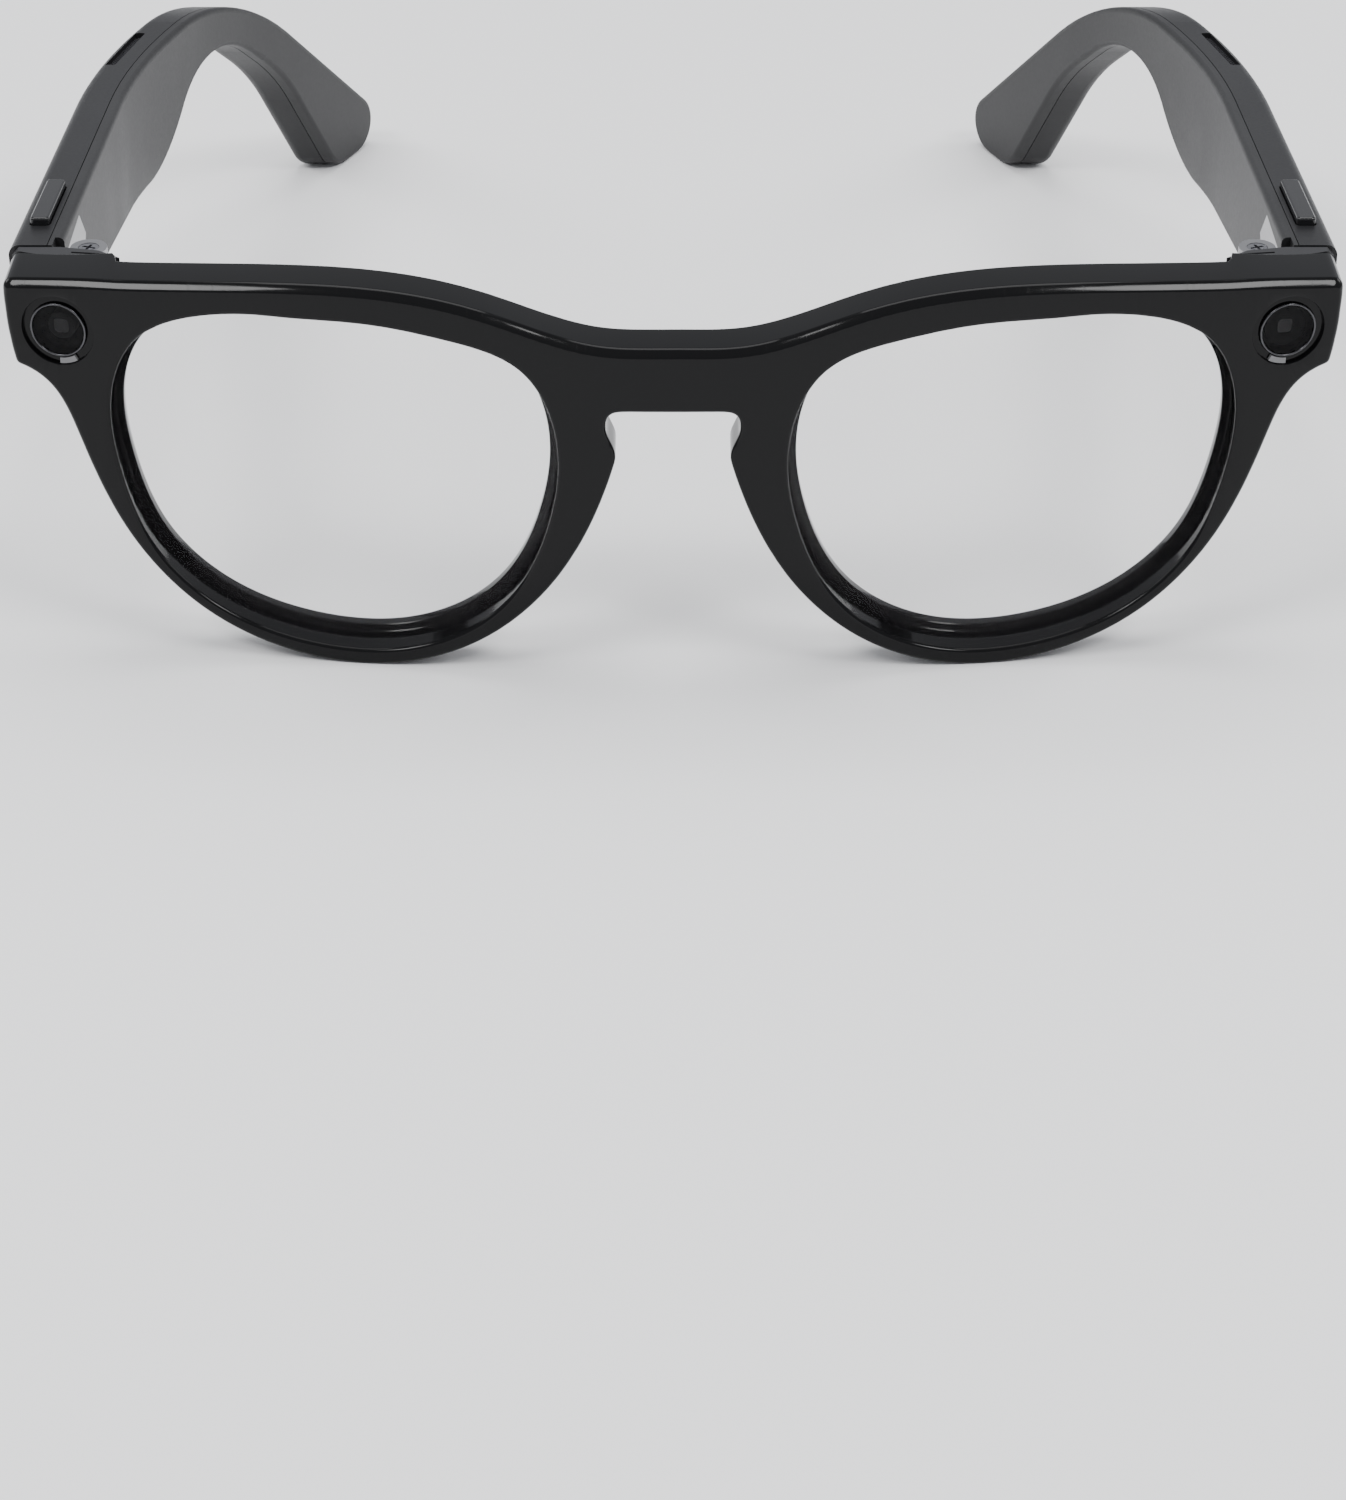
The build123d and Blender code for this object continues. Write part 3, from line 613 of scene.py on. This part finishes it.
strip_range = range(-STRIPS_EACH_SIDE, STRIPS_EACH_SIDE + 1)
columns = [((index * STRIP_WIDTH, 0, 0), (1, 0, 0)) for index in strip_range]
step_edges = (STEP_START, STEP_START + STEP_RUN)
steps_across = [side * edge for side in SIDES.values() for edge in step_edges]
edges_of_step = [((x, 0, 0), (1, 0, 0)) for x in steps_across]
edges_of_step += [((0, 0, ENDPIECE_BOTTOM - add), (0, 0, 1)) for add in (0, STEP_RUN)]
front_faces = slice_faces(front_faces, columns)
seat_floor = slice_faces(seat_floor, columns)
rear_faces = slice_faces(rear_faces, columns + edges_of_step)
for vert in {v for f in rear_faces for v in f.verts}:
    vert.co.y = depth_of_rear(vert.co.x, vert.co.z)
for vert in front.verts:
    vert.co.y += bow_at(vert.co.x)
bmesh.ops.recalc_face_normals(front, faces=front.faces)
open_edges = sum(len(edge.link_faces) != 2 for edge in front.edges)
print("front:", len(front.faces), "faces,", open_edges, "open edges")

# %% [markdown]
# ## Nose pads
#
# The pads are part of the front, so they go into the same mesh.  Each is a ball that is
# pressed flat, turned towards the nose and sunk into the rear of the rim.

# %% Nose pads
PAD_SIZE = (2.0 * MM, 4.4 * MM, 7.4 * MM)
PAD_PLACE = Vector((11.2 * MM, cad_low.y + 5.9 * MM, 20.0 * MM))
PAD_TURN = (0, math.radians(-26), math.radians(-12))
for side in SIDES.values():
    pad = bmesh.ops.create_icosphere(front, subdivisions=5, radius=1)["verts"]
    for vert in pad:
        x, y, z = (size * part for size, part in zip(PAD_SIZE, vert.co))
        swung = (
            x * math.cos(PAD_TURN[2]) - y * math.sin(PAD_TURN[2]),
            x * math.sin(PAD_TURN[2]) + y * math.cos(PAD_TURN[2]),
            z,
        )
        tilted_x = swung[0] * math.cos(PAD_TURN[1]) + swung[2] * math.sin(PAD_TURN[1])
        tilted_z = swung[2] * math.cos(PAD_TURN[1]) - swung[0] * math.sin(PAD_TURN[1])
        vert.co = PAD_PLACE + Vector((tilted_x, swung[1], tilted_z))
        vert.co.x *= side
    if side < 0:  # mirroring has turned these faces inside out
        bmesh.ops.reverse_faces(front, faces=list({f for v in pad for f in v.link_faces}))
print("nose pads rest at", [round(v / MM, 1) for v in PAD_PLACE])

# %% [markdown]
# ## Finishes
#
# Tumbled black sheet is nearly a mirror, but not quite: it has a faint haze where it was
# handled and a surface that rolls by a few thousandths of a millimetre.  Moulded temples are
# satin, because the mould is spark-eroded to a fine grain.  Both are a base value plus a
# little noise, at the real size of the grain.

# %% Polished black of the front
ROLL_HEIGHT = 0.003 * MM
polished_black = Finish("polished_black", (0.0035, 0.0035, 0.0038), 0.09, Specular_IOR_Level=0.17)
haze = polished_black.noise(160, 3).above(0.55, 0.2)
scratches = polished_black.noise(2600, 2, stretch=(1, 0.08, 0.08), turn=(0.2, 0.5, 0.9))
hairline = scratches.above(0.66, 0.03)
polished_black.feed("Roughness", 0.085 + haze * 0.05 + hairline * 0.06)
polished_black.bump(polished_black.noise(420, 2) + hairline * -0.25, ROLL_HEIGHT)
print("polished black has", len(polished_black.tree.nodes), "nodes")

# %% Satin mouldings


def moulded(name, dark, light, roughness, grain, relief, specular):
    """Spark-eroded satin: a colour that drifts a little, and a fine even grain."""
    made = Finish(name, dark, roughness, Specular_IOR_Level=specular)
    drift = made.noise(70, 3)
    made.feed("Base Color", made.mix(drift, dark, light))
    rubbed = made.noise(35, 4).above(0.6, 0.12)
    made.feed("Roughness", roughness + made.noise(grain / 3) * 0.08 - rubbed * 0.05)
    made.bump(made.noise(grain, 3), relief * MM)
    return made


SATIN = {  # dark and light colour, roughness, grains in a metre, relief in mm, specular level
    "satin_temple": ((0.008, 0.008, 0.009), (0.013, 0.013, 0.014), 0.36, 7000, 0.009, 0.28),
    "satin_inner": ((0.014, 0.014, 0.015), (0.021, 0.021, 0.022), 0.42, 5500, 0.011, 0.32),
    "satin_cover": ((0.018, 0.018, 0.02), (0.026, 0.026, 0.028), 0.32, 6500, 0.008, 0.4),
    "gloss_button": ((0.006, 0.006, 0.007), (0.009, 0.009, 0.010), 0.16, 4000, 0.003, 0.45),
    "black_barrel": ((0.008, 0.008, 0.009), (0.014, 0.014, 0.015), 0.42, 8000, 0.01, 0.4),
    "speaker_case": ((0.012, 0.012, 0.012), (0.02, 0.02, 0.02), 0.55, 3000, 0.02, 0.4),
    "chip_resin": ((0.015, 0.015, 0.016), (0.03, 0.03, 0.031), 0.5, 5000, 0.012, 0.4),
    "milky_light": ((0.12, 0.12, 0.123), (0.16, 0.16, 0.164), 0.35, 3000, 0.004, 0.5),
    "sensor_glaze": ((0.75, 0.75, 0.76), (0.85, 0.85, 0.86), 0.25, 4000, 0.002, 0.6),
}
satin = {name: moulded(name, *recipe) for name, recipe in SATIN.items()}
print("satin finishes:", ", ".join(satin))

# %% [markdown]
# ## Clear and metal finishes
#
# A lens shows itself only where it reflects, at a glancing angle, and by a faint tint.  A
# Fresnel node gives exactly that, and drives how opaque the surface is.  Metal gets its
# character from the way it was worked: drawn metal has long fine lines, a turned screw has
# rings round its axis.

# %% Lenses and windows
GLASS_IOR = 1.5
lens_finish = Finish("clear_lens", (0.22, 0.21, 0.22), 0.03, Specular_IOR_Level=0.6)
glancing = lens_finish.node("ShaderNodeFresnel", {}, GLASS_IOR)
smear = lens_finish.noise(90, 3).above(0.62, 0.15)
direction = lens_finish.node("ShaderNodeTexCoord", {}, output=1)  # which way the surface faces
facing_y = lens_finish.node("ShaderNodeSeparateXYZ", {}, direction, output=1).math("ABSOLUTE")
polished_faces = facing_y.above(0.5, 0.2)  # 0 on the ground edge, which the rim hides
lens_finish.feed("Alpha", (0.018 + glancing * 0.3 + smear * 0.008) * polished_faces)
lens_finish.feed("Roughness", 0.02 + smear * 0.05)

window_finish = Finish("dark_window", (0.001, 0.001, 0.0015), 0.04, Specular_IOR_Level=0.15)
window_finish.feed("Alpha", 0.5 + window_finish.node("ShaderNodeFresnel", {}, GLASS_IOR) * 0.5)
window_finish.feed("Roughness", 0.03 + window_finish.noise(500, 3).above(0.6, 0.1) * 0.05)
print("clear finishes:", lens_finish.material.name, window_finish.material.name)

# %% Worked metal


def drawn(name, color, roughness, along, lines=6000):
    """Metal with fine lines along one axis."""
    made = Finish(name, color, roughness, 1.0)
    stretch = [1.0, 1.0, 1.0]
    stretch["XYZ".index(along)] = 0.03
    line = made.noise(lines, 2, stretch=tuple(stretch))
    cloud = made.noise(300, 3)
    made.feed("Roughness", roughness - 0.08 + line * 0.16)
    made.feed("Base Color", made.mix(cloud, [part * 0.8 for part in color], color))
    made.bump(line, 0.004 * MM)
    return made


hinge_finish = drawn("hinge_steel", (0.42, 0.42, 0.43), 0.34, "Y")
screw_finish = drawn("screw_steel", (0.34, 0.34, 0.36), 0.28, "X", 9000)
ring_finish = drawn("dark_ring", (0.085, 0.085, 0.09), 0.26, "Z", 8000)
contact_finish = drawn("contact_plate", (0.83, 0.62, 0.30), 0.24, "Z", 9000)
mesh_finish = drawn("vent_wire", (0.05, 0.05, 0.055), 0.4, "Y")
print("metal finishes are ready")

# %% [markdown]
# ## Finishes of the hidden parts
#
# The boards, the ribbon cable and the battery stay inside, but they are seen when the shells
# are hidden.  A board shows rows of tracks under its green lacquer, the ribbon shows copper
# lines through amber film, and the battery is wrapped in creased foil.

# %% Hidden electronics
BOARD_GREEN = (0.008, 0.07, 0.03)
TRACK_GREEN = (0.02, 0.16, 0.06)
board_finish = Finish("solder_mask", BOARD_GREEN, 0.3)
bricks = {"Vector": board_finish.place, "Scale": 420.0, "Mortar_Size": 0.06}
track = board_finish.node("ShaderNodeTexBrick", {"offset": 0.35}, output=1, **bricks)
board_finish.feed("Base Color", board_finish.mix(track, BOARD_GREEN, TRACK_GREEN))
board_finish.bump(track, 0.015 * MM)
flex_finish = Finish("flex_film", (0.35, 0.13, 0.02), 0.3)
lines = {"Vector": flex_finish.place, "Scale": 900.0}
wave = flex_finish.node("ShaderNodeTexWave", {"bands_direction": "Z"}, output=1, **lines)
copper = wave.above(0.5, 0.2)
flex_finish.feed("Base Color", flex_finish.mix(copper, (0.30, 0.10, 0.015), (0.55, 0.25, 0.06)))
flex_finish.bump(copper, 0.01 * MM)
foil_finish = Finish("pouch_foil", (0.5, 0.5, 0.52), 0.3, 0.9)
cells = {"feature": "DISTANCE_TO_EDGE"}
crease = foil_finish.node("ShaderNodeTexVoronoi", cells, foil_finish.place, Scale=300.0)
foil_finish.feed("Roughness", 0.26 + foil_finish.noise(900) * 0.12)
foil_finish.bump(crease.above(0.08, 0.08), 0.04 * MM)
print("electronics finishes are ready")

# %% [markdown]
# ## The front becomes a piece
#
# A piece is told which body it rides on, which finish it wears and which of the model's own
# pieces it replaces.  Smooth shading alone would make the flat faces look swollen near their edges, so
# the front also gets weighted normals.

# %% The front as a piece
front_body = frame["nodes"]["front_frame"]["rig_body"]


def piece(name, mesh_data, finish, body, stands_for=(), sharp=35):
    """A finished mesh as a piece that rides on a body."""
    made = bpy.data.objects.new(name, mesh_data)
    bpy.context.scene.collection.objects.link(made)
    mesh_data.materials.clear()
    mesh_data.materials.append(finish.material)
    mesh_data.shade_smooth()
    mesh_data.set_sharp_from_angle(angle=math.radians(sharp))
    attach(made, body)
    if stands_for:
        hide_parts(*stands_for)
    return made


front_data = bpy.data.meshes.new("polished_front")
front.to_mesh(front_data)
front.free()
replaced = ["front_frame"]
polished_front = piece("polished_front", front_data, polished_black, front_body, replaced)
weighted = polished_front.modifiers.new("weighted", "WEIGHTED_NORMAL")
weighted.keep_sharp = True
print("polished front:", len(front_data.polygons), "faces")

# %% [markdown]
# ## Rings and woven vents by Geometry Nodes
#
# The ring round each window and the woven wire in each vent follow a rule, so a node tree
# grows them: a circle swept by a rounded section, and two sets of wires that pass over and
# under each other.  The weave needs no trick: the height of a wire is a product of two
# cosines, which changes sign from one crossing to the next.

# %% A builder for node trees
class Growth:
    """A Geometry Nodes tree with named sizes, made one node at a time."""

    def __init__(self, name, sizes):
        self.tree = bpy.data.node_groups.new(name, "GeometryNodeTree")
        face = self.tree.interface
        for label in sizes:
            face.new_socket(label, in_out="INPUT", socket_type="NodeSocketFloat")
        face.new_socket("Finish", in_out="INPUT", socket_type="NodeSocketMaterial")
        face.new_socket("Geometry", in_out="OUTPUT", socket_type="NodeSocketGeometry")
        self.given = self.tree.nodes.new("NodeGroupInput")
        self.sizes = sizes

    def size(self, label):
        """The socket of a named size."""
        return self.given.outputs[label]

    def node(self, kind, settings, *values, **named):
        """Any node, as in Finish; it gives the node's first output."""
        made = self.tree.nodes.new(kind)
        for setting, choice in settings.items():
            setattr(made, setting, choice)
        enabled = [socket for socket in made.inputs if socket.enabled]
        sockets = list(zip(enabled, values))
        sockets += [(made.inputs[key.replace("_", " ")], value) for key, value in named.items()]
        for socket, value in sockets:
            if isinstance(value, bpy.types.NodeSocket):
                self.tree.links.new(value, socket)
            else:
                socket.default_value = value
        return next(socket for socket in made.outputs if socket.enabled)

    def math(self, operation, *values):
        """A Math node."""
        return self.node("ShaderNodeMath", {"operation": operation}, *values)

    def finish(self, *shapes):
        """Join the shapes, make instances real and give them their finish."""
        joined = self.tree.nodes.new("GeometryNodeJoinGeometry")
        for shape in shapes:
            self.tree.links.new(shape, joined.inputs[0])
        real = self.node("GeometryNodeRealizeInstances", {}, joined.outputs[0])
        dressed = self.node("GeometryNodeSetMaterial", {}, real, Material=self.given.outputs["Finish"])
        result = self.tree.nodes.new("NodeGroupOutput")
        self.tree.links.new(dressed, result.inputs["Geometry"])

    def grow(self, name, finish):
        """The tree's result as a plain mesh."""
        holder = bpy.data.objects.new(name, bpy.data.meshes.new(name))
        bpy.context.scene.collection.objects.link(holder)
        modifier = holder.modifiers.new("growth", "NODES")
        modifier.node_group = self.tree
        inputs = {**self.sizes, "Finish": finish.material}
        for item in self.tree.interface.items_tree:
            if item.in_out == "INPUT":
                modifier[item.identifier] = inputs[item.name]
        evaluated = holder.evaluated_get(bpy.context.evaluated_depsgraph_get())
        made = bpy.data.meshes.new_from_object(evaluated)
        holder.modifiers.remove(modifier)
        bpy.data.objects.remove(holder)
        return made


print("Growth is ready")

# %% Window rings
RING_SIZES = {"Radius": 3.125 * MM, "Width": 0.26 * MM, "Height": 1.3 * MM, "Rounding": 0.13 * MM}
RING_DEPTH = 0.72 * MM  # of its middle, behind the bowed face
turned = Growth("turned_ring", RING_SIZES)
circle_size = turned.size("Radius")
circle = turned.node("GeometryNodeCurvePrimitiveCircle", {}, Resolution=96, Radius=circle_size)
sides = {"Width": turned.size("Width"), "Height": turned.size("Height")}
section = turned.node("GeometryNodeCurvePrimitiveQuadrilateral", {}, **sides)
rounding = {"Radius": turned.size("Rounding"), "Count": 5}
soft_section = turned.node("GeometryNodeFilletCurve", {"mode": "POLY"}, section, **rounding)
turned.finish(turned.node("GeometryNodeCurveToMesh", {}, circle, soft_section))


def window_matrix(side, depth):
    """Place and turn of a side's window: Z out of the glass, X away from the nose."""
    origin = window_point(side, 0, 0, depth)
    out = Vector((side * math.sin(window_turn), -math.cos(window_turn), 0))
    up = Vector((0, 0, 1))
    return Matrix.Translation(origin) @ Matrix((up.cross(out), up, out)).transposed().to_4x4()


for label, side in SIDES.items():
    ring_mesh = turned.grow(f"{label}_ring", ring_finish)
    ring_mesh.transform(window_matrix(side, RING_DEPTH))
    replaced = [f"{label}_window_bezel"]
    piece(f"{label}_window_ring", ring_mesh, ring_finish, front_body, replaced)
print("window ring:", len(ring_mesh.polygons), "faces")

# %% Wires of the woven vents
WEAVE_SIZES = {"Length": 13.9 * MM, "Width": 1.26 * MM, "Pitch": 0.315 * MM, "Wire": 0.06 * MM}
woven = Growth("woven_vent", WEAVE_SIZES)


def wires(length, width, axis):
    """Straight wires of one length, side by side across a width."""
    other = 1 - axis
    count = woven.math("ADD", woven.math("ROUND", woven.math("DIVIDE", width, woven.size("Pitch"))), 1.0)
    half_way = woven.math("MULTIPLY", width, -0.5)
    end_way = woven.math("MULTIPLY", length, 0.5)
    names = ("X", "Y")
    start = woven.node("ShaderNodeCombineXYZ", {}, **{names[other]: half_way})
    step = woven.node("ShaderNodeCombineXYZ", {}, **{names[other]: woven.size("Pitch")})
    spread = {"Count": count, "Start_Location": start, "Offset": step}
    places = woven.node("GeometryNodeMeshLine", {"mode": "OFFSET"}, **spread)
    near = woven.node("ShaderNodeCombineXYZ", {}, **{names[axis]: woven.math("MULTIPLY", end_way, -1.0)})
    far = woven.node("ShaderNodeCombineXYZ", {}, **{names[axis]: end_way})
    wire = woven.node("GeometryNodeCurvePrimitiveLine", {}, Start=near, End=far)
    points = woven.math("MULTIPLY", woven.math("DIVIDE", length, woven.size("Pitch")), 4.0)
    fine = woven.node("GeometryNodeResampleCurve", {}, Curve=wire, Count=points)
    rows = woven.node("GeometryNodeInstanceOnPoints", {}, places, Instance=fine)
    return woven.node("GeometryNodeRealizeInstances", {}, rows)


print("sizes of the weave:", ", ".join(WEAVE_SIZES))

# %% Weave the wires


def weave(curves, direction):
    """Bend wires over and under: the height is a product of two cosines."""
    position = woven.node("GeometryNodeInputPosition", {})
    parts = woven.tree.nodes.new("ShaderNodeSeparateXYZ")
    woven.tree.links.new(position, parts.inputs[0])
    waves = []
    for part, origin in ((parts.outputs["X"], "Width"), (parts.outputs["Y"], "Length")):
        start = woven.math("MULTIPLY", woven.size(origin), 0.5)
        steps = woven.math("DIVIDE", woven.math("ADD", part, start), woven.size("Pitch"))
        waves.append(woven.math("COSINE", woven.math("MULTIPLY", steps, math.pi)))
    height = woven.math("MULTIPLY", woven.math("MULTIPLY", waves[0], waves[1]), woven.size("Wire"))
    shift = woven.node("ShaderNodeCombineXYZ", {}, Z=woven.math("MULTIPLY", height, direction))
    bent = woven.node("GeometryNodeSetPosition", {}, curves, Offset=shift)
    section = woven.node("GeometryNodeCurvePrimitiveCircle", {}, Resolution=6, Radius=woven.size("Wire"))
    return woven.node("GeometryNodeCurveToMesh", {}, bent, section, Fill_Caps=True)


woven.finish(
    weave(wires(woven.size("Length"), woven.size("Width"), 1), 1.0),
    weave(wires(woven.size("Width"), woven.size("Length"), 0), -1.0),
)
print("the weave is grown by", len(woven.tree.nodes), "nodes")

# %% Place the woven vents
VENT_SHARPNESS = 60  # degrees, so that a six-sided wire is shaded round


def flat_place(node):
    """Place of a flat, oblong node: its middle, with X across, Y along and Z out of its plane."""
    points = np.array([v.co[:] for v in frame["nodes"][node].data.vertices])
    low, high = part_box(node)
    axes = np.linalg.svd(points - points.mean(0), full_matrices=False)[2]
    along, out = Vector(axes[0]), Vector(axes[2])
    out *= 1 if out.z > 0 else -1
    across = along.cross(out).normalized()
    return Matrix.Translation((low + high) / 2) @ Matrix((across, along, out)).transposed().to_4x4()


for label in SIDES:
    weave_mesh = woven.grow(f"{label}_weave", mesh_finish)
    plate = f"{label}_speaker_mesh"
    weave_mesh.transform(flat_place(plate))
    body = frame["nodes"][plate]["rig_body"]
    vent = f"{label}_woven_vent"
    piece(vent, weave_mesh, mesh_finish, body, [plate], VENT_SHARPNESS)
print("woven vent:", len(weave_mesh.polygons), "faces")

# %% [markdown]
# ## What shows through the windows
#
# Behind each dark glass sits a small square sensor with a soft shine.  It is a low pillow: a
# rounded square that shrinks as it rises, built ring by ring and closed at its crown.

# %% Sensor pillows
PILLOW_HALF = 0.85 * MM
PILLOW_HEIGHT = 0.14 * MM
PILLOW_POINTS = 48
PILLOW_RINGS = 7
SQUARENESS = 4  # power of the rounded square: 2 gives a circle
SENSOR_DEPTH = 1.31 * MM  # behind the bowed face


def pillow(name):
    """A low dome on a rounded square, lying in XY with its crown up."""
    shape = bmesh.new()
    rings = []
    for level in range(PILLOW_RINGS):
        rise = math.pi / 2 * level / PILLOW_RINGS
        row = []
        for index in range(PILLOW_POINTS):
            turn = 2 * math.pi * index / PILLOW_POINTS
            x, y = math.cos(turn), math.sin(turn)
            square_edge = (abs(x) ** SQUARENESS + abs(y) ** SQUARENESS) ** (-1 / SQUARENESS)
            reach = square_edge * PILLOW_HALF * math.cos(rise)
            row.append(shape.verts.new((x * reach, y * reach, PILLOW_HEIGHT * math.sin(rise))))
        rings.append(row)
    for low_row, high_row in zip(rings, rings[1:]):
        for index, corner in enumerate(low_row):
            shape.faces.new((low_row[index - 1], corner, high_row[index], high_row[index - 1]))
    crown = shape.verts.new((0, 0, PILLOW_HEIGHT))
    for index in range(PILLOW_POINTS):
        shape.faces.new((rings[-1][index - 1], rings[-1][index], crown))
    shape.faces.new(rings[0][::-1])
    made = bpy.data.meshes.new(name)
    shape.to_mesh(made)
    shape.free()
    return made


for label, side in SIDES.items():
    sensor_mesh = pillow(f"{label}_sensor")
    sensor_mesh.transform(window_matrix(side, SENSOR_DEPTH))
    piece(f"{label}_window_sensor", sensor_mesh, satin["sensor_glaze"], front_body)
print("sensor pillow:", len(sensor_mesh.polygons), "faces")

# %% [markdown]
# ## A finish for every other piece
#
# The model's own pieces already have the right shape, so they keep it and only trade their
# plain colour for a finish.  Each node knows its material slot, and each slot gets the
# finish made for it.

# %% Dress the model's own pieces
FINISHES = {
    "frame_gloss": polished_black,
    "cover_satin": satin["satin_cover"],
    "temple_satin": satin["satin_temple"],
    "temple_inner": satin["satin_inner"],
    "button_gloss": satin["gloss_button"],
    "lens_clear": lens_finish,
    "window_dark": window_finish,
    "bezel_metal": ring_finish,
    "light_pipe": satin["milky_light"],
    "hinge_metal": hinge_finish,
    "screw_metal": screw_finish,
    "contact_gold": contact_finish,
    "camera_black": satin["black_barrel"],
    "board_green": board_finish,
    "chip_black": satin["chip_resin"],
    "flex_amber": flex_finish,
    "battery_foil": foil_finish,
    "speaker_black": satin["speaker_case"],
    "mesh_steel": mesh_finish,
}
for name, node in frame["nodes"].items():
    slot = node.material_slots[0].material.name.split(".")[0]
    node.material_slots[0].material = FINISHES[slot].material
print("dressed", len(frame["nodes"]), "pieces of the model")
